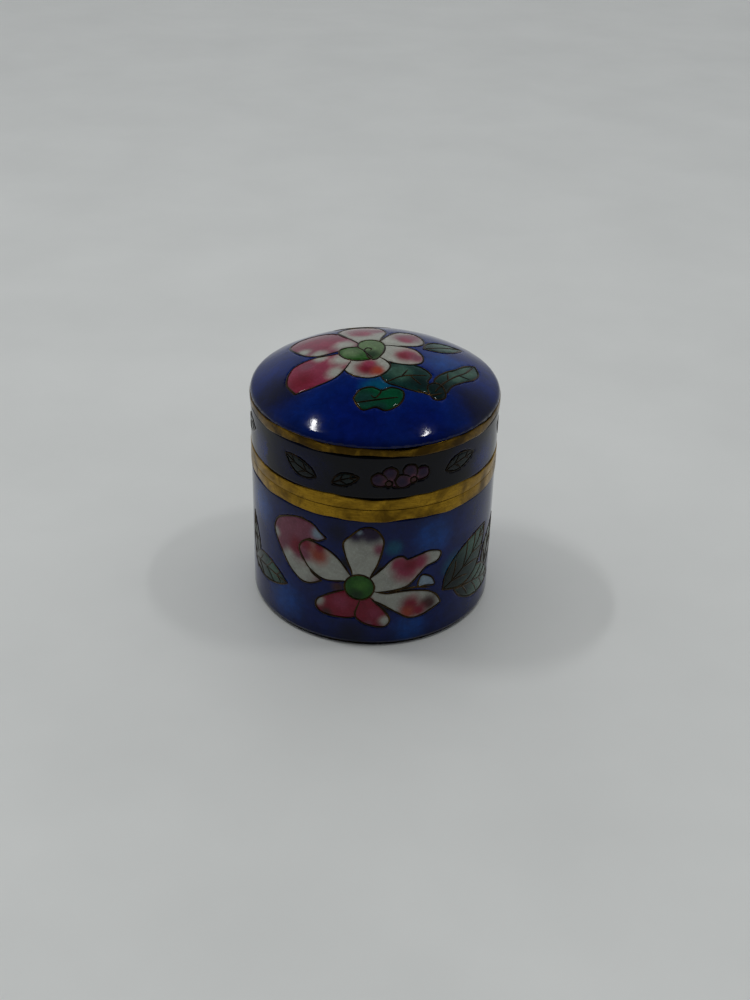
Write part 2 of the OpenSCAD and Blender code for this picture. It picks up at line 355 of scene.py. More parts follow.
# Leaves on the wall: how far round, height, direction, length, width, bend, pairs of veins, colour
WALL_LEAVES = [
    (-72, 9.0, 100, 8.2, 2.8, -0.4, 3, LEAF_DARK), (-58, 6.4, 4, 8.8, 3.8, 0.5, 3, LEAF),
    (75, 8.6, 58, 8.4, 4.2, 0.4, 3, LEAF_DARK), (60, 4.9, -16, 10.0, 4.6, 0.5, 4, LEAF_LIGHT),
    (51, 10.2, 36, 10.6, 6.0, -0.5, 4, LEAF)
]

# The flower on top of the lid, as seen from above
TOP_PETALS = [
    # back
    ([(-2.4, 2.0), (-4.1, 4.8), (-5.0, 7.2), (-4.0, 9.2), (-1.9, 9.9), (0.3, 9.0), (1.2, 6.6), (0.8, 4.2),
      (0.0, 2.0)], CREAM,
     [(-1.9, 7.2, 2.2, DUSTY), (-2.0, 5.6, 1.3, ROSE), (0.2, 7.2, 1.0, DUSTY)]),
    # back left
    ([(-2.9, 0.4), (-5.0, -0.3), (-7.2, -0.7), (-9.0, 0.3), (-10.6, 3.0), (-11.2, 5.6), (-9.8, 7.8),
      (-7.4, 8.0), (-5.4, 6.8), (-4.0, 4.4), (-2.2, 1.4)], DUSTY,
     [(-6.4, 2.6, 2.0, ROSE), (-8.4, 4.4, 1.6, ROSE), (-7.2, -0.2, 1.0, CREAM), (-9.4, 1.4, 1.0, CREAM),
      (-4.0, 1.4, 1.3, CREAM)]),
    # back right
    ([(0.2, 1.6), (1.4, 4.6), (2.6, 6.8), (4.5, 7.4), (5.8, 6.0), (6.1, 3.6), (5.0, 2.0), (3.0, 1.3),
      (0.6, 0.6)],
     CREAM, [(3.9, 4.6, 1.7, DUSTY), (4.8, 5.8, 1.0, DUSTY), (3.7, 3.7, 0.9, ROSE)]),
    # right
    ([(0.4, 0.8), (2.8, 1.2), (4.8, 0.9), (5.9, -0.6), (5.7, -2.4), (4.1, -3.3), (1.9, -3.2),
      (-0.2, -1.8)], CREAM,
     [(4.0, -1.0, 1.5, ROSE), (3.4, -1.4, 0.9, RED), (5.2, -1.4, 0.9, DUSTY)]),
    # front
    ([(-1.8, -1.8), (-3.3, -3.1), (-3.8, -4.8), (-2.5, -6.2), (-0.6, -6.6), (1.0, -5.7), (1.8, -3.8),
      (0.2, -2.0)], CREAM,
     [(-1.0, -4.7, 1.5, RED), (-0.8, -3.6, 0.8, ROSE), (0.3, -5.2, 0.9, ORANGE)]),
    # front left
    ([(-2.9, -1.2), (-5.8, -1.0), (-8.6, -1.2), (-10.5, -2.4), (-11.0, -5.2), (-9.8, -7.6), (-9.8, -7.6),
      (-7.4, -7.2), (-5.0, -6.2), (-3.6, -4.2)], ROSE,
     [(-4.2, -2.4, 1.3, CREAM), (-4.9, -5.2, 1.1, CREAM), (-7.0, -1.2, 0.9, CREAM), (-9.2, -5.6, 1.7, RED),
      (-8.6, -2.6, 0.9, DUSTY)]),
]
TOP_HEART_LEFT = [(-4.5, 0.2), (-3.2, 0.6), (-1.6, 0.2), (-0.8, -1.4), (-0.5, -2.6), (-2.2, -3.0),
                  (-3.7, -2.4), (-4.6, -1.1)]
TOP_HEART_RIGHT = [(-0.8, 2.8), (0.5, 2.3), (1.1, 0.9), (0.9, -1.0), (0.0, -2.7), (-0.9, -2.3), (-1.4, -0.7),
                   (-2.3, 0.6), (-2.0, 2.2)]
TOP_HEART_LEFT_SPOTS = [(-3.2, -0.8, 1.2, HEART_PALE)]
TOP_HEART_RIGHT_SPOTS = [(0.0, 1.2, 1.0, HEART_PALE), (-0.6, -1.6, 1.2, HEART_DARK)]
TOP_CURL = [(-0.4, -2.4), (-1.0, -1.4), (-1.5, -0.6), (-1.2, 0.2), (-0.6, 0.0), (-0.7, -0.5)]
TOP_LEAVES = [
    # front, grass green
    ([(-2.6, -9.9), (-2.6, -9.9), (-1.8, -8.6), (-0.4, -8.2), (0.8, -8.7), (2.0, -8.1), (3.4, -8.5),
      (3.4, -9.8), (2.6, -11.0), (1.3, -11.7), (0.1, -11.3), (-1.3, -11.7), (-2.1, -11.0)], GRASS,
     [(1.8, -9.9, 0.9, GRASS), (-1.4, -10.0, 1.3, LEAF), (0.6, -11.3, 0.8, LEAF)]),
    # front right, grey green
    ([(0.5, -5.3), (1.3, -3.7), (3.5, -3.2), (5.6, -3.4), (6.9, -4.6), (6.5, -6.1), (7.2, -7.7), (5.2, -8.2),
      (3.0, -7.8), (1.3, -7.2)], LEAF, [(3.0, -5.2, 1.4, LEAF_LIGHT), (5.6, -6.6, 1.3, LEAF_DARK)]),
    # right, long
    ([(7.0, -8.0), (7.0, -8.0), (7.3, -5.4), (8.5, -3.4), (10.1, -1.6), (11.3, 0.2), (12.7, 1.6), (12.7, 1.6),
      (13.1, -0.4), (12.3, -2.4), (10.9, -4.0), (9.5, -5.6), (8.6, -7.4)], LEAF,
     [(11.6, -1.2, 1.4, LEAF_LIGHT), (10.2, -3.4, 1.0, LEAF_LIGHT), (8.2, -6.4, 1.2, LEAF_DARK)]),
    # right front, small and dark
    ([(6.4, -7.0), (7.4, -5.9), (8.4, -6.4), (8.6, -8.0), (7.2, -8.8)], LEAF_DARK, []),
    # back right
    ([(6.0, 1.6), (6.0, 1.6), (6.6, 4.0), (8.4, 5.6), (11.2, 6.2), (11.2, 6.2), (10.2, 3.8), (8.4, 2.0)],
     LEAF, [(9.0, 4.2, 1.5, LEAF_LIGHT)]),
    # behind the flower
    ([(-5.6, 10.4), (-5.6, 10.4), (-3.6, 12.4), (-0.4, 13.2), (1.8, 12.8), (1.8, 12.8), (0.2, 11.2),
      (-2.8, 10.4)],
     LEAF, [(-2.0, 12.0, 1.5, LEAF_LIGHT)]),
]
TOP_GROUND_SPOTS = [
    (-2, -12.5, 4.5, DEEP_BLUE), (6, -12.5, 3.0, DEEP_BLUE), (-12, -6, 3.0, NAVY), (13, -7, 3.0, NAVY),
    (-13, 4, 3.5, COBALT), (9, -1, 2.5, AZURE), (0.5, -8.5, 2.0, TURQUOISE)
]
TOP_TENDRILS = [
    [(0.8, -8.4), (0.6, -9.2), (0.0, -9.9), (-0.5, -9.5)],
    [(5.2, -7.8), (6.4, -8.3), (7.4, -8.0), (8.2, -7.4)],
    [(7.3, -7.6), (8.4, -5.6), (9.8, -3.6), (11.4, -1.4), (12.5, 1.2)],
    [(6.3, 1.9), (8.2, 3.6), (10.6, 5.8)], [(1.4, -7.2), (3.4, -5.8), (6.4, -4.9)],
    [(-2.2, -10.6), (0.2, -10.2), (2.8, -9.6)], [(-5.2, 10.6), (-2.0, 11.9), (1.4, 12.7)],
    [(3.2, -5.9), (4.0, -4.4)], [(4.2, -5.5), (5.6, -6.9)], [(9.0, -4.7), (9.0, -3.2)],
    [(10.3, -2.8), (11.8, -2.7)],
]

# The sprigs on the lid's band: how far round each starts, and its blossoms and leaves from there.
# A blossom is (how far round, height, direction), and a leaf has its length and width as well.
SPRIG_TURNS = (12, 132, 252)
BAND_GROUND_SPOTS = [(-12, 0, 4.0, NAVY), (9, 2.2, 2.5, NAVY), (12, -1.6, 2.5, COBALT)]
BLOSSOM_PETAL = [(0.1, 0.0), (0.7, 0.75), (1.7, 0.9), (2.3, 0.1), (1.8, -0.8), (0.8, -0.7)]
BLOSSOM_SPOTS = [(1.5, 0.1, 0.7, PLUM), (0.4, 0.0, 0.3, DUSTY)]
BLOSSOM_TURNS = (20, 92, 164)
BLOSSOM_HEART_R = 0.42
BLOSSOMS = [(-5, -0.8, -10), (6, -0.5, 16)]
BAND_LEAF_BEND = 0.2
BAND_LEAF_SPOTS = [(0.6, 0.3, 0.9, LEAF_DARK)]
BAND_LEAVES = [(-46, 0.0, 158, 5.0, 2.3), (30, 0.3, 12, 4.8, 2.2), (-24, -0.6, 20, 3.6, 1.7)]


def wall_drawing():
    d = Drawing()
    for turn in (0, -180):
        move = placer(turn + FLOWER_TURN, FLOWER_Z)
        d.ground(WALL_GROUND_SPOTS, move)
        for at, z, spin, length, width, bend, pairs, colour in WALL_LEAVES:
            leaf_move = placer(turn + at, z, spin)
            spots = [(0.2 * length, 0.2 * width, 0.35 * width, LEAF_LIGHT),
                     (-0.3 * length, 0, 0.4 * width, LEAF_DARK)]
            d.cell("leaf", leaf_points(length, width, bend), colour, spots, leaf_move)
            for vein in leaf_veins(length, width, bend, pairs):
                d.wire(vein, leaf_move)
        d.cell("bud", WALL_BUD, DUSTY, WALL_BUD_SPOTS, move)
        d.cell("petal", WALL_PATCH, PALE_BLUE, [], move)
        for points, colour, spots in WALL_PETALS:
            d.cell("petal", points, colour, spots, move)
        d.cell("centre", ring_of(HEART_R), HEART, HEART_SPOTS, move)
        d.wire(WALL_TENDRIL, move)
    return d


def band_drawing():
    d = Drawing()
    middle = (BAND_Z + BAND_TOP) / 2
    for turn in SPRIG_TURNS:
        d.ground(BAND_GROUND_SPOTS, placer(turn, middle))
        for at, z, spin, length, width in BAND_LEAVES:
            leaf_move = placer(turn + at, middle + z, spin)
            d.cell("leaf", leaf_points(length, width, BAND_LEAF_BEND), BAND_LEAF, BAND_LEAF_SPOTS, leaf_move)
            for vein in leaf_veins(length, width, BAND_LEAF_BEND, 2):
                d.wire(vein, leaf_move)
        for at, z, spin in BLOSSOMS:
            for petal in BLOSSOM_TURNS:
                petal_move = placer(turn + at, middle + z, spin + petal)
                d.cell("petal", BLOSSOM_PETAL, MAUVE, BLOSSOM_SPOTS, petal_move)
            d.cell("petal", ring_of(BLOSSOM_HEART_R, 12), BROWN, [], placer(turn + at, middle + z))
    return d


def top_drawing():
    d = Drawing()

    def move(p):
        return np.array(p, float)

    d.ground(TOP_GROUND_SPOTS, move)
    for points, colour, spots in TOP_LEAVES:
        d.cell("leaf", points, colour, spots, move)
    for tendril in TOP_TENDRILS:
        d.wire(tendril, move)
    for points, colour, spots in TOP_PETALS:
        d.cell("petal", points, colour, spots, move)
    d.cell("centre", TOP_HEART_LEFT, HEART, TOP_HEART_LEFT_SPOTS, move)
    d.cell("centre", TOP_HEART_RIGHT, HEART_PALE, TOP_HEART_RIGHT_SPOTS, move)
    d.wire(TOP_CURL, move)
    return d


# ---- meshes ----

def new_object(name, verts, faces):
    mesh = bpy.data.meshes.new(name)
    mesh.from_pydata([tuple(v) for v in np.asarray(verts, float) * MM], [], faces)
    mesh.validate()
    mesh.shade_smooth()
    obj = bpy.data.objects.new(name, mesh)
    bpy.context.scene.collection.objects.link(obj)
    return obj


def set_tint(obj, colours):
    attribute = obj.data.color_attributes.new("tint", "FLOAT_COLOR", "POINT")
    rgba = np.ones((len(obj.data.vertices), 4), np.float32)
    rgba[:, :3] = colours
    attribute.data.foreach_set("color", rgba.ravel())


def inside(points, loop):
    """Which points lie inside a closed loop."""
    x, y = points[:, 0], points[:, 1]
    found = np.zeros(len(points), bool)
    for (x0, y0), (x1, y1) in zip(loop, np.roll(loop, -1, 0)):
        crosses = (y0 > y) != (y1 > y)
        slope = (x1 - x0) / (y1 - y0 if y1 != y0 else 1e-12)
        found ^= crosses & (x < x0 + (y - y0) * slope)
    return found


def near_box(points, loop):
    """Which points lie within the loop's box, as a quick first test."""
    return ((points >= loop.min(0)) & (points <= loop.max(0))).all(1)


def tree_of(points):
    tree = KDTree(len(points))
    for i, (x, y) in enumerate(points):
        tree.insert((x, y, 0), i)
    tree.balance()
    return tree


def distances(tree, points):
    return np.array([tree.find((x, y, 0))[2] for x, y in points])


def shown_runs(drawing):
    """Every wire as open or closed runs, without what a cell further up covers."""
    lines = [(i + 1, cell.outline, True) for i, cell in enumerate(drawing.cells)]
    lines += [(level, line, False) for level, line in drawing.wires]
    runs = []
    for level, line, closed in lines:
        covered = np.zeros(len(line), bool)
        for upper in drawing.cells[level:]:
            close = near_box(line, upper.outline)
            if close.any():
                covered[close] |= inside(line[close], upper.outline)
        if not covered.any():
            runs.append((line, closed))
            continue
        start = int(np.argmax(covered)) if closed else 0
        line, hidden = np.roll(line, -start, 0), np.roll(covered, -start)
        edges = np.flatnonzero(np.diff(np.concatenate([[1], hidden.astype(int), [1]])))
        for a, b in zip(edges[::2], edges[1::2]):
            if b - a > 3:
                runs.append((line[a:b], False))
    return runs


def grid_points(low, high):
    """A grid of rows that are offset by half a step, so that its triangles are even."""
    rows = max(2, round((high[1] - low[1]) / (GRID * ROW_HEIGHT)))
    columns = round((high[0] - low[0]) / GRID)
    step = (high[0] - low[0]) / columns
    out = []
    for k in range(1, rows):
        y = low[1] + (high[1] - low[1]) * k / rows
        x = low[0] + step * (np.arange(columns) + (0.5 if k % 2 else 1.0))
        x = x[x < high[0] - 0.3 * step]
        out.append(np.stack([x, np.full(len(x), y)], 1))
    return np.vstack(out)


def hand_waves(points3, size, depth):
    """The small unevenness of a hand-polished surface."""
    return np.array([depth * noise.noise(Vector(p) / size) for p in points3])


def mottle(points3, size, seed):
    """Cloudy noise, a different one for each seed."""
    return np.array([noise.fractal(Vector(p) / size + Vector((seed, 0, 0)), 0.8, 2.1, 3) for p in points3])


def tinted(points, points3, colour, spots, seed):
    """A cell's colours: its own, with each soft spot laid over it and its edge broken up a little."""
    out = np.tile(np.array(colour, float), (len(points), 1))
    rough = mottle(points3, CLOUD_SIZE, seed)
    for at, radius, spot in spots:
        d = np.hypot(*(points - at).T) / (SPREAD * radius)
        share = np.clip(SPOT_SOLID - d + EDGE_BREAK * rough, 0, 1)
        share = (share * share * (3 - 2 * share))[:, None]
        out = out * (1 - share) + np.array(spot) * share
    return out * (1 + CLOUDINESS * rough[:, None])


class Surface:
    """A drawing cut into a mesh for the ground and for each kind of cell, and its wires."""

    def __init__(self, name, drawing, place, border, fill, inset, ground):
        self.name, self.drawing, self.place, self.inset, self.ground = name, drawing, place, inset, ground
        self.runs = shown_runs(drawing)
        self.wire_tree = tree_of(np.vstack([run for run, closed in self.runs]))
        outlines = [c.outline for c in drawing.cells]
        lines = np.vstack(outlines + [border])
        fill = fill[distances(tree_of(lines), fill) > CLEAR_OF_LINES]
        verts, edges, faces = [], [], []
        for loop in [border] + outlines:
            first = len(verts)
            verts.extend(Vector(p) for p in loop)
            faces.append(list(range(first, len(verts))))
        verts.extend(Vector(p) for p in fill)
        made = delaunay_2d_cdt(verts, edges, faces, 1, MERGE)
        self.flat = np.array([tuple(v) for v in made[0]])
        self.faces = made[2]
        # made[5] lists the loops that each face lies in. The border is loop 0, so the ground is -1.
        self.owner = [max(f) - 1 for f in made[5]]

    def height(self, points):
        """Enamel dips a little beside a wire and swells in the middle of a cell."""
        d = distances(self.wire_tree, points)
        rest = self.place(points, np.zeros(len(points)))
        beside = np.exp(-np.maximum(d - WIRE_HALF, 0) / DIP_WIDTH)
        return -DIP * beside + hand_waves(rest, *LONG_WAVE) + hand_waves(rest, *SHORT_WAVE)

    def kind_of(self, owner):
        return "ground" if owner < 0 else self.drawing.cells[owner].kind

    def piece(self, kind, node):
        """The mesh of one kind of cell, or of the ground, as a closed skin of the enamel's thickness."""
        cells = self.drawing.cells
        corner, tint_of, flat, faces = {}, {}, [], []
        for key, corners in zip(self.owner, self.faces):
            if self.kind_of(key) != kind:
                continue
            face = []
            for v in corners:
                if (key, v) not in corner:
                    corner[(key, v)] = len(flat)
                    flat.append(self.flat[v])
                    tint_of.setdefault(key, []).append(len(flat) - 1)
                face.append(corner[(key, v)])
            faces.append(face)
        flat = np.array(flat)
        at = self.place(flat, self.height(flat))
        tints = np.zeros((len(flat), 3))
        for key, members in tint_of.items():
            colour = self.ground if key < 0 else cells[key].colour
            spots = self.drawing.ground_spots if key < 0 else cells[key].spots
            tints[members] = tinted(flat[members], at[members], colour, spots, float(key))
        # Painted shade: the colours darken towards the surface's border, where the enamel meets a ring
        tints *= (1 - BORDER_SHADE * np.exp(-np.maximum(self.inset(flat), 0) / BORDER_REACH))[:, None]
        obj = new_object(f"{self.name}_{kind}_glass", at, faces)
        set_tint(obj, tints)
        outward(obj, merge=True)
        skin = obj.modifiers.new("skin", "SOLIDIFY")
        skin.thickness, skin.offset = (ENAMEL_T - SKIN_GAP) * MM, -1
        dress(obj, node, GLASS[kind])

    def build(self, ground_node, wire_metal):
        """Every piece of the surface: the ground, each kind of cell that it has, and the wires."""
        self.piece("ground", ground_node)
        kinds = {cell.kind for cell in self.drawing.cells}
        for kind in GLASS:
            if kind in kinds:
                word = "flower_centre" if kind == "centre" else kind
                self.piece(kind, f"{self.name}_{word}_enamel")
        self.wires(f"{self.name}_wires", wire_metal)

    def wires(self, node, material):
        """Flat wires on edge along every run, a little proud of the enamel."""
        across = np.array([-1, -1, -WIRE_CREST, 0, WIRE_CREST, 1, 1]) * WIRE_HALF
        shoulder = WIRE_PROUD * WIRE_SHOULDER
        up = np.array([-WIRE_DEEP, -WIRE_EDGE, shoulder, WIRE_PROUD, shoulder, -WIRE_EDGE, -WIRE_DEEP])
        count = len(across)
        verts, faces = [], []
        for line, closed in self.runs:
            before = np.roll(line, 1, 0) if closed else np.vstack([2 * line[0] - line[1], line[:-1]])
            after = np.roll(line, -1, 0) if closed else np.vstack([line[1:], 2 * line[-1] - line[-2]])
            along = after - before
            along /= np.maximum(np.linalg.norm(along, axis=1), TINY)[:, None]
            side = np.stack([-along[:, 1], along[:, 0]], 1)
            wobble = 1 + 0.14 * np.sin(np.arange(len(line)) * 0.31 + len(verts))
            if not closed:
                ends = np.minimum(np.arange(len(line)), np.arange(len(line))[::-1])
                wobble = wobble * np.minimum(1, 0.35 + ends / 5)
            first = len(verts)
            sections = [self.place(line + side * (a * wobble)[:, None], np.full(len(line), h))
                        for a, h in zip(across, up)]
            verts.extend(np.stack(sections, 1).reshape(-1, 3))
            steps = len(line) if closed else len(line) - 1
            for i in range(steps):
                j = (i + 1) % len(line)
                for k in range(count):
                    m = (k + 1) % count
                    faces.append([first + i * count + k, first + i * count + m, first + j * count + m,
                                  first + j * count + k])
            if not closed:
                faces.append([first + k for k in range(count)][::-1])
                faces.append([first + (len(line) - 1) * count + k for k in range(count)])
        obj = new_object(f"{node}_fine", verts, faces)
        outward(obj)
        dress(obj, node, material)


def outward(obj, merge=False):
    """Turns a mesh's faces outwards, once it has joined the points that lie together, if merge says so."""
    bm = bmesh.new()
    bm.from_mesh(obj.data)
    if merge:
        bmesh.ops.remove_doubles(bm, verts=bm.verts, dist=WELD * MM)
    bmesh.ops.recalc_face_normals(bm, faces=bm.faces)
    if merge and sum(f.normal.dot(f.calc_center_median()) for f in bm.faces) < 0:
        bmesh.ops.reverse_faces(bm, faces=bm.faces)
    bm.to_mesh(obj.data)
    bm.free()


def paint(obj, material):
    obj.data.materials.clear()
    obj.data.materials.append(material)


def dress(obj, node, material):
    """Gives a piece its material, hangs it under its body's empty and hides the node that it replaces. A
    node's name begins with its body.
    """
    paint(obj, material)
    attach(obj, node.split("_")[0])
    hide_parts(node)


def lathe(name, profile, wave, segments):
    """A closed profile of (radius, height) points turned about the axis. wave(angle, k) moves a point."""
    count = len(profile)
    verts, faces = [], []
    for s in range(segments):
        a = 2 * math.pi * s / segments
        for k, (r, z) in enumerate(profile):
            dr, dz = wave(a, k)
            verts.append(((r + dr) * math.sin(a), -(r + dr) * math.cos(a), z + dz))
    for s in range(segments):
        t = (s + 1) % segments
        for k in range(count):
            m = (k + 1) % count
            faces.append([s * count + k, t * count + k, t * count + m, s * count + m])
    obj = new_object(name, verts, faces)
    outward(obj)
    return obj


def rounded(corners):
    """A closed profile of (r, z, radius) corners, each cut to an arc of its radius."""
    out = []
    n = len(corners)
    for i in range(n):
        here, r = np.array(corners[i][:2], float), corners[i][2]
        if r == 0:
            out.append(tuple(here))
            continue
        a = np.array(corners[i - 1][:2], float) - here
        b = np.array(corners[(i + 1) % n][:2], float) - here
        a, b = a / np.linalg.norm(a), b / np.linalg.norm(b)
        reach = r / max(math.tan(math.acos(np.clip(a @ b, -1, 1)) / 2), 1e-6)
        centre = here + (a + b) / np.linalg.norm(a + b) * math.hypot(r, reach)
        start, end = here + a * reach - centre, here + b * reach - centre
        for t in np.linspace(0, 1, ARC_STEPS + 1):
            d = start * (1 - t) + end * t
            out.append(tuple(centre + d / np.linalg.norm(d) * r))
    return out


# ---- materials ----

class Nodes:
    """A material's node tree, built a node at a time."""

    def __init__(self, name, **fixed):
        self.material = bpy.data.materials.new(name)
        self.material.use_nodes = True
        self.tree = self.material.node_tree
        self.shader = self.tree.nodes["Principled BSDF"]
        for socket, value in fixed.items():
            self.shader.inputs[socket.replace("_", " ")].default_value = value
        self.place = self.node("ShaderNodeTexCoord").outputs["Object"]

    def node(self, kind, **settings):
        node = self.tree.nodes.new(kind)
        for key, value in settings.items():
            setattr(node, key, value)
        return node

    def link(self, source, target):
        self.tree.links.new(source, target)

    def fill(self, node, values):
        for key, value in values.items():
            if isinstance(value, bpy.types.NodeSocket):
                self.link(value, node.inputs[key])
            else:
                node.inputs[key].default_value = value

    def noise(self, size, detail=3.0, rough=0.55, distort=0.0, stretch=None):
        """Noise with features of about size millimetres."""
        node = self.node("ShaderNodeTexNoise")
        at = self.place
        if stretch:
            mapping = self.node("ShaderNodeMapping")
            self.fill(mapping, {"Vector": self.place, "Scale": stretch})
            at = mapping.outputs["Vector"]
        self.fill(node, {"Vector": at, "Scale": 1 / (size * MM), "Detail": detail, "Roughness": rough,
                         "Distortion": distort})
        return node.outputs["Fac"]

    def cells(self, size):
        """The distance to the nearest of scattered points, about size millimetres apart."""
        node = self.node("ShaderNodeTexVoronoi")
        self.fill(node, {"Vector": self.place, "Scale": 1 / (size * MM)})
        return node.outputs["Distance"]

    def ramp(self, factor, *stops):
        """Colours or numbers along a factor, as (position, colour or number) pairs."""
        node = self.node("ShaderNodeValToRGB")
        elements = node.color_ramp.elements
        while len(elements) < len(stops):
            elements.new(0.5)
        for element, (at, look) in zip(elements, stops):
            element.position = at
            element.color = (look, look, look, 1) if isinstance(look, (int, float)) else (*look, 1)
        self.link(factor, node.inputs["Fac"])
        return node.outputs["Color"]

    def mix(self, factor, a, b, blend="MIX"):
        """Two colours mixed. A Mix node's colour sockets are inputs 6 and 7 and output 2."""
        node = self.node("ShaderNodeMix", data_type="RGBA", blend_type=blend)
        a, b = ((*look, 1) if isinstance(look, tuple) else look for look in (a, b))
        self.fill(node, {0: factor, 6: a, 7: b})
        return node.outputs[2]

    def tint(self):
        return self.node("ShaderNodeVertexColor", layer_name="tint").outputs["Color"]

    def edges(self, low, high):
        """A factor that is 1 on worn convex edges."""
        return self.ramp(self.node("ShaderNodeNewGeometry").outputs["Pointiness"], (low, 0.0), (high, 1.0))

    def bump(self, height, distance, strength, under=None):
        node = self.node("ShaderNodeBump")
        self.fill(node, {"Height": height, "Distance": distance * MM, "Strength": strength})
        if under:
            self.link(under, node.inputs["Normal"])
        return node.outputs["Normal"]

    def finish(self, colour, roughness, normal):
        self.fill(self.shader, {"Base Color": colour, "Roughness": roughness, "Normal": normal})
        return self.material


def enamel(name, dark, grain):
    """Fired glass: the cell's own colours, cloudy, with fine specks, pinholes and polishing marks."""
    m = Nodes(name, IOR=1.28)
    colour = m.mix(m.ramp(m.noise(1.7, 4, 0.6, 0.6), (0.35, 0.0), (0.7, 1.0)), m.tint(), (dark,) * 3,
                   "MULTIPLY")
    specks = m.ramp(m.noise(0.28, 2, 0.7), (0.50, 0.0), (0.74, grain))
    colour = m.mix(specks, colour, (0.9, 0.95, 1.0), "SOFT_LIGHT")
    pits = m.ramp(m.cells(0.75), (0.03, 1.0), (0.07, 0.0))
    pits_shown = m.mix(m.ramp(m.noise(3.1, 1), (0.52, 0.0), (0.58, 1.0)), (0, 0, 0), pits)
    colour = m.mix(pits_shown, colour, (0.01, 0.01, 0.012))
    rough = m.ramp(m.noise(1.2, 5, 0.65), (0.3, 0.045), (0.75, 0.13))
    rough = m.mix(pits_shown, rough, (0.6, 0.6, 0.6))
    marks = m.bump(m.noise(0.5, 3, 0.6), 0.010, 0.35)
    normal = m.bump(m.mix(pits_shown, (1, 1, 1), (0, 0, 0)), 0.02, 0.5, marks)
    return m.finish(colour, rough, normal)


def metal(name, bright, deep, tarnish, brushed, wear, patch=(0.42, 0.66)):
    """Turned and polished metal: fine lines round it, cloudy tarnish and bright worn edges."""
    m = Nodes(name, Metallic=1.0)
    lines = m.noise(0.09, 4, 0.7, stretch=(0.06, 0.06, 1.0))
    colour = m.mix(m.ramp(lines, (0.3, 0.0), (0.7, 1.0)), deep, bright)
    cloud = m.noise(3.4, 5, 0.62, 0.8)
    colour = m.mix(m.ramp(cloud, (patch[0], 0.0), (patch[1], 1.0)), colour, tarnish)
    dirt = m.ramp(m.noise(0.35, 4, 0.7), (0.55, 0.0), (0.72, 0.6))
    colour = m.mix(dirt, colour, tuple(c * 0.4 for c in tarnish))
    colour = m.mix(m.mix(m.edges(0.50, 0.56), (0, 0, 0), (wear,) * 3), colour, bright)
    roughness = m.ramp(cloud, (0.3, 0.2), (0.7, 0.42))
    normal = m.bump(lines, 0.006, brushed)
    normal = m.bump(m.noise(0.8, 3, 0.6), 0.02, 0.3, normal)
    return m.finish(colour, roughness, normal)


def lining_glass(name):
    """The blue enamel inside, with no pattern: cloudy, a little streaky, with pinholes."""
    m = Nodes(name, IOR=1.52, Coat_Weight=0.3, Coat_Roughness=0.05)
    cloud = m.noise(4.2, 5, 0.6, 1.2)
    colour = m.ramp(cloud, (0.28, srgb(16, 88, 146)), (0.5, srgb(34, 122, 176)), (0.74, srgb(78, 158, 196)))
    streaks = m.ramp(m.noise(1.1, 4, 0.65, 2.0), (0.45, 0.0), (0.8, 0.5))
    colour = m.mix(streaks, colour, srgb(20, 76, 150))
    pits = m.ramp(m.cells(1.1), (0.03, 1.0), (0.06, 0.0))
    colour = m.mix(pits, colour, srgb(20, 36, 60))
    rough = m.ramp(m.noise(1.6, 4), (0.3, 0.10), (0.75, 0.26))
    normal = m.bump(m.noise(0.9, 3), 0.03, 0.3)
    return m.finish(colour, rough, m.bump(m.mix(pits, (1, 1, 1), (0, 0, 0)), 0.02, 0.5, normal))


def floor_paint(name):
    """The pale table: satin, with a faint cloudiness and fine grain."""
    m = Nodes(name)
    colour = m.ramp(m.noise(26, 4, 0.5), (0.3, srgb(225, 228, 227)), (0.7, srgb(231, 234, 233)))
    rough = m.ramp(m.noise(6, 3), (0.3, 0.34), (0.7, 0.42))
    return m.finish(colour, rough, m.bump(m.noise(0.6, 3), 0.01, 0.25))


GLASS = {
    "ground": enamel("ground_glass", dark=0.62, grain=0.35),
    "petal": enamel("petal_glass", dark=0.80, grain=0.45),
    "bud": enamel("bud_glass", dark=0.76, grain=0.45),
    "leaf": enamel("leaf_glass", dark=0.60, grain=0.55),
    "centre": enamel("centre_glass", dark=0.70, grain=0.5),
}
LINING = lining_glass("lining_glass")
RING_BRASS = metal("ring_metal", srgb(168, 132, 40), srgb(116, 86, 20), srgb(70, 50, 14),
                   brushed=0.45, wear=0.5)
SHOULDER_BRASS = metal("shoulder_metal", srgb(132, 102, 30), srgb(80, 58, 16), srgb(36, 23, 10),
                       brushed=0.45, wear=0.5, patch=(0.36, 0.56))
# The foot ring's brass, darker than the rings above: painted shade at the base where the box stands, with
# tarnish
SHADED_FOOT_BRASS = metal("shaded_foot_metal", srgb(72, 56, 26), srgb(34, 28, 16), srgb(13, 12, 9),
                   brushed=0.4, wear=0.3, patch=(0.3, 0.56))
WIRE_BRASS = metal("wire_metal", srgb(84, 64, 32), srgb(38, 30, 18), srgb(16, 13, 11),
                   brushed=0.3, wear=0.3, patch=(0.34, 0.58))
BAND_WIRE = metal("band_wire_metal", srgb(48, 36, 22), srgb(22, 18, 13), srgb(12, 10, 9),
                  brushed=0.3, wear=0.2, patch=(0.34, 0.58))
COLLAR_BRASS = metal("collar_metal", srgb(206, 172, 84), srgb(166, 128, 52), srgb(128, 92, 38),
                     brushed=0.8, wear=0.6, patch=(0.52, 0.8))
COPPER = metal("copper_metal", srgb(186, 108, 72), srgb(140, 72, 46), srgb(84, 42, 30),
               brushed=0.5, wear=0.5)


# ---- enamel and wires ----

def seam_turned(drawing, start):
    """Moves whatever lies before start, in degrees, once round the box."""
    first = WALL_R * math.radians(start)
    for cell in drawing.cells:
        shift = ROUND if cell.outline[:, 0].mean() < first else 0
        cell.outline[:, 0] += shift
        for at, radius, colour in cell.spots:
            at[0] += shift
    for level, line in drawing.wires:
        line[:, 0] += ROUND if line[:, 0].mean() < first else 0
    for at, radius, colour in drawing.ground_spots:
        at[0] += ROUND if at[0] < first else 0
    return drawing


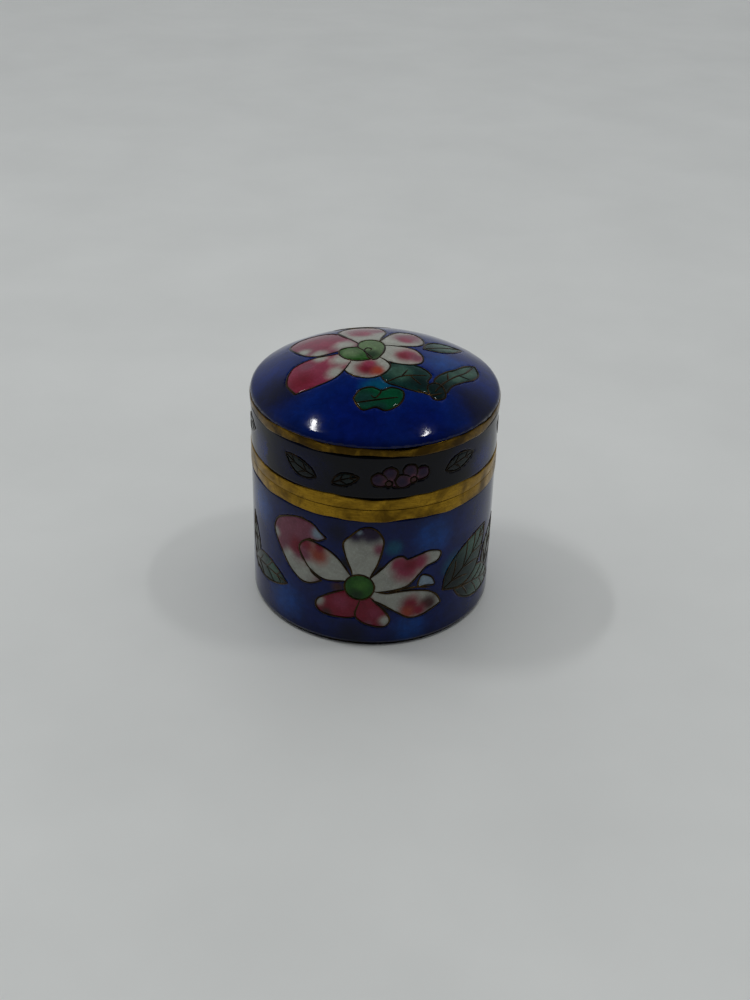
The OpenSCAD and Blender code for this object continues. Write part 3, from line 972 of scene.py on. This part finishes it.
def sheet_outline(start, low, high):
    """The border of an unrolled wall, with points close enough to bend round the box."""
    left = WALL_R * math.radians(start)
    along = np.linspace(0, 1, BORDER_POINTS)
    bottom = np.stack([left + ROUND * along, np.full(BORDER_POINTS, low)], 1)
    top = np.stack([left + ROUND * along[::-1], np.full(BORDER_POINTS, high)], 1)
    rise = np.linspace(0, 1, max(3, round((high - low) / GRID)))[1:-1]
    right = np.stack([np.full(len(rise), left + ROUND), low + (high - low) * rise], 1)
    back = np.stack([np.full(len(rise), left), low + (high - low) * rise[::-1]], 1)
    return np.vstack([bottom, right, top, back])


def unrolled(name, drawing, start, low, high, ground):
    """The surface of a wall, unrolled from start degrees and once round."""
    border = sheet_outline(start, low, high)
    fill = grid_points(border.min(0), border.max(0))

    def inset(points):
        return np.minimum(points[:, 1] - low, high - points[:, 1])
    return Surface(name, seam_turned(drawing, start), on_wall, border, fill, inset, ground)


def dome_surface():
    border = ring_of(DOME_EDGE, BORDER_POINTS)
    fill = grid_points(border.min(0), border.max(0))
    fill = fill[np.hypot(fill[:, 0], fill[:, 1]) < DOME_EDGE - 0.3 * GRID]

    def inset(points):
        return DOME_EDGE - np.hypot(points[:, 0], points[:, 1])
    return Surface("lid_top", top_drawing(), on_dome, border, fill, inset, COBALT)


wall = unrolled("base", wall_drawing(), -275, WALL_Z, WALL_TOP, WALL_BLUE)
wall.build("base_wall_enamel", WIRE_BRASS)
band = unrolled("lid_band", band_drawing(), -56, BAND_Z, BAND_TOP, MIDNIGHT)
band.build("lid_band_enamel", BAND_WIRE)
dome_surface().build("lid_top_enamel", WIRE_BRASS)


# ---- turned metal ----

def uneven(edge, seed):
    """A wave for a ring whose enamel side, at height edge, was ground by hand and isn't straight."""
    def wave(profile_z, a):
        near = max(0.0, 1 - abs(profile_z - edge) / 0.4)
        at = Vector((2.6 * math.cos(a), 2.6 * math.sin(a), seed))
        return near * GROUND_EDGE * (noise.noise(at) + 0.4 * noise.noise(at * 3.1))
    return wave


def ring(node, inner, outer, low, high, enamel_sides, radius, material, seed):
    """A ring with rounded edges, half as round where no enamel is. Its enamel sides are uneven."""
    corner = {z: radius if z in enamel_sides else 0.5 * radius for z in (low, high)}
    profile = rounded([(inner, low, CREASE_R), (outer, low, corner[low]), (outer, high, corner[high]),
                       (inner, high, CREASE_R)])
    waves = [uneven(z, seed + z) for z in enamel_sides]

    def wave(a, k):
        r, z = profile[k]
        dent = 0.02 * (noise.noise(Vector((5 * math.cos(a), 5 * math.sin(a), z + seed))) - 0.6)
        if r < outer - 2 * radius:
            return 0, 0
        return dent, sum(w(z, a) for w in waves)
    dress(lathe(f"{node}_fine", profile, wave, RING_POINTS), node, material)


def dense(profile, step):
    """The profile with points added, so that no stretch is longer than step."""
    out = []
    for (r0, z0), (r1, z1) in zip(profile, profile[1:] + profile[:1]):
        count = max(1, math.ceil(math.hypot(r1 - r0, z1 - z0) / step))
        out += [(r0 + (r1 - r0) * i / count, z0 + (z1 - z0) * i / count) for i in range(count)]
    return out


# A lining stands upright outside this radius, and lies flat or domed inside it
UPRIGHT_R = COLLAR_R - LINING_T - 0.1


def glaze(name, profile, shown, node, seed):
    """A lining of fired glass: its shown side, where shown(r, z) is true, is a little uneven."""
    profile = dense(profile, 0.8)

    def wave(a, k):
        r, z = profile[k]
        if not shown(r, z):
            return 0, 0
        at = Vector((r * math.cos(a), r * math.sin(a), z + seed))
        d = 0.05 * noise.noise(at / 4) + 0.015 * noise.noise(at / 1.2)
        return (-abs(d), 0) if r > UPRIGHT_R else (0, d)
    obj = lathe(name, profile, wave, LINING_POINTS)
    outward(obj, merge=True)
    dress(obj, node, LINING)


ring("base_rim_ring", COLLAR_R, RING_R, WALL_TOP, SEAM_Z, [WALL_TOP], EDGE_R, RING_BRASS, 3.0)
ring("lid_rim_ring", LID_IN_R, RING_R, SEAM_Z, BAND_Z, [BAND_Z], EDGE_R, RING_BRASS, 17.0)
ring("lid_shoulder_ring", CUP_R, RING_R, BAND_TOP, DOME_Z, [BAND_TOP, DOME_Z], EDGE_R, SHOULDER_BRASS, 31.0)
ring("base_foot_ring", FOOT_IN_R, FOOT_R, 0.0, WALL_Z, [], 0.14, SHADED_FOOT_BRASS, 43.0)
inner_r = COLLAR_R - LINING_T
ring("base_collar", inner_r, COLLAR_R, COLLAR_Z, COLLAR_TOP, [], 0.12, COLLAR_BRASS, 59.0)

# Within this of a lining's back or rim, nothing of it shows
BACKED = 0.2

cup_profile = rounded([(COLLAR_R, LINING_Z, CREASE_R), (COLLAR_R, COLLAR_Z, CREASE_R),
                       (inner_r, COLLAR_Z, 0.1), (inner_r, LINING_Z + LINING_T, 1.4),
                       (0, LINING_Z + LINING_T, 0), (0, LINING_Z, 0)])


def cup_shown(r, z):
    return LINING_Z + BACKED < z < COLLAR_Z - BACKED and r < COLLAR_R - BACKED


glaze("base_lining_fine", cup_profile, cup_shown, "base_lining_enamel", 71.0)

under_profile = rounded([(FOOT_IN_R, FLOOR_Z, 0.15), (FOOT_IN_R, FLOOR_TOP, CREASE_R), (0, FLOOR_TOP, 0),
                         (0, FLOOR_Z, 0)])


def floor_shown(r, z):
    return z < FLOOR_Z + 0.1 and r < FOOT_IN_R - 0.3


glaze("base_floor_fine", under_profile, floor_shown, "base_floor_enamel", 83.0)


def cap_arc(off, edge):
    """Points of the dome's sphere, off below its outside, from radius edge to the middle."""
    big = CAP_R - off
    return [(r, CAP_Z + math.sqrt(big**2 - r**2)) for r in np.linspace(edge, 0, 24)]


outer_off = WALL_R - LID_IN_R
inner_lid_r = LID_IN_R - LINING_T
shoulder_z = cap_arc(outer_off + LINING_T, inner_lid_r)[0][1]
lid_profile = ([(inner_lid_r, LID_LINING_Z), (LID_IN_R, LID_LINING_Z)] + cap_arc(outer_off, LID_IN_R)
               + cap_arc(outer_off + LINING_T, inner_lid_r - 0.8)[::-1]
               + [(inner_lid_r - 0.24, shoulder_z - 0.1), (inner_lid_r, shoulder_z - 0.9)])


def dome_lining_shown(r, z):
    under_back = z < CAP_Z + math.sqrt((CAP_R - outer_off - BACKED)**2 - r**2)
    return under_back and r < LID_IN_R - BACKED and z > LID_LINING_Z + BACKED


glaze("lid_lining_fine", lid_profile, dome_lining_shown, "lid_lining_enamel", 97.0)

for node in ("base_cup", "lid_dome"):
    paint(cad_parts[node], COPPER)


# ---- floor, light and camera, with lengths in metres ----

bpy.ops.mesh.primitive_plane_add(size=4.0, location=(0, 0.8, 0))
table = bpy.context.object
table.name = "table"
table.data.materials.append(floor_paint("table_paint"))

world = bpy.data.worlds.new("studio")
bpy.context.scene.world = world
world.use_nodes = True
sky = world.node_tree
direction = sky.nodes.new("ShaderNodeTexCoord").outputs["Generated"]


def sky_factor(aim, dark, bright):
    """0 to 1 as a direction turns from away from aim to along it."""
    dot = sky.nodes.new("ShaderNodeVectorMath")
    dot.operation = "DOT_PRODUCT"
    dot.inputs[1].default_value = aim
    sky.links.new(direction, dot.inputs[0])
    ease = sky.nodes.new("ShaderNodeMapRange")
    ease.interpolation_type = "SMOOTHSTEP"
    ease.inputs["From Min"].default_value = dark
    ease.inputs["From Max"].default_value = bright
    sky.links.new(dot.outputs["Value"], ease.inputs["Value"])
    return ease.outputs["Result"]


# The room is pale behind and beside the box, and dark in front of it and overhead. The camera sees
# a pale background everywhere.
DARK_ROOM = (0.045, 0.047, 0.05, 1)
PALE_ROOM = (0.36, 0.375, 0.39, 1)
BACKDROP = (0.46, 0.47, 0.47, 1)
both = sky.nodes.new("ShaderNodeMath")
both.operation = "MULTIPLY"
sky.links.new(sky_factor((0, 1, 0), -0.55, 0.35), both.inputs[0])
sky.links.new(sky_factor((0, 0, -1), -0.86, -0.45), both.inputs[1])
fade = sky.nodes.new("ShaderNodeValToRGB")
fade.color_ramp.elements[0].color = DARK_ROOM
fade.color_ramp.elements[1].color = PALE_ROOM
sky.links.new(both.outputs["Value"], fade.inputs["Fac"])
seen = sky.nodes.new("ShaderNodeMix")
seen.data_type = "RGBA"
sky.links.new(sky.nodes.new("ShaderNodeLightPath").outputs["Is Camera Ray"], seen.inputs[0])
sky.links.new(fade.outputs["Color"], seen.inputs[6])
seen.inputs[7].default_value = BACKDROP
sky.links.new(seen.outputs[2], sky.nodes["Background"].inputs["Color"])


LAMP_AIM = Vector((0, 0, 0.03))


def lamp(name, at, width, height, power):
    """A small lamp that makes one of the highlights on the dome."""
    data = bpy.data.lights.new(name, "AREA")
    data.shape, data.size, data.size_y, data.energy = "RECTANGLE", width, height, power
    obj = bpy.data.objects.new(name, data)
    obj.location = at
    obj.rotation_euler = (LAMP_AIM - Vector(at)).to_track_quat("-Z", "Y").to_euler()
    bpy.context.scene.collection.objects.link(obj)


# An even overhead light that the glossy enamel doesn't mirror
softbox = bpy.data.lights.new("softbox", "SUN")
softbox.energy, softbox.color, softbox.angle = 1.15, (1.0, 0.99, 0.97), math.radians(110)
overhead = bpy.data.objects.new("softbox", softbox)
overhead.rotation_euler = (math.radians(-14), 0, 0)
overhead.visible_glossy = False
bpy.context.scene.collection.objects.link(overhead)
lamp("lamp_left", (-0.191, 0.041, 0.382), width=0.064, height=0.013, power=0.19)
lamp("lamp_right", (0.168, 0.003, 0.396), width=0.050, height=0.014, power=0.13)

# The camera that was fitted to the photo's outline: it looks at the box's axis at height MIDDLE
MIDDLE = 0.016
DISTANCE = 0.18485
RISE = math.radians(31.05)
ROLL = math.radians(1.42)
LENS, SENSOR = 49.97, 36
SHIFT = (0.002, -0.0238)
NEAR = 0.01

right = Vector((1, 0, 0))
up = Vector((0, math.sin(RISE), math.cos(RISE)))
back = Vector((0, -math.cos(RISE), math.sin(RISE)))
camera_right = right * math.cos(ROLL) + up * math.sin(ROLL)
camera_up = up * math.cos(ROLL) - right * math.sin(ROLL)
camera_data = bpy.data.cameras.new("camera")
camera_data.lens, camera_data.sensor_width, camera_data.clip_start = LENS, SENSOR, NEAR
camera_data.shift_x, camera_data.shift_y = SHIFT
camera = bpy.data.objects.new("camera", camera_data)
facing = Matrix([camera_right, camera_up, back]).transposed().to_4x4()
camera.matrix_world = Matrix.Translation(Vector((0, 0, MIDDLE)) + back * DISTANCE) @ facing
bpy.context.scene.collection.objects.link(camera)
bpy.context.scene.camera = camera
bpy.context.scene.view_settings.view_transform = "Standard"
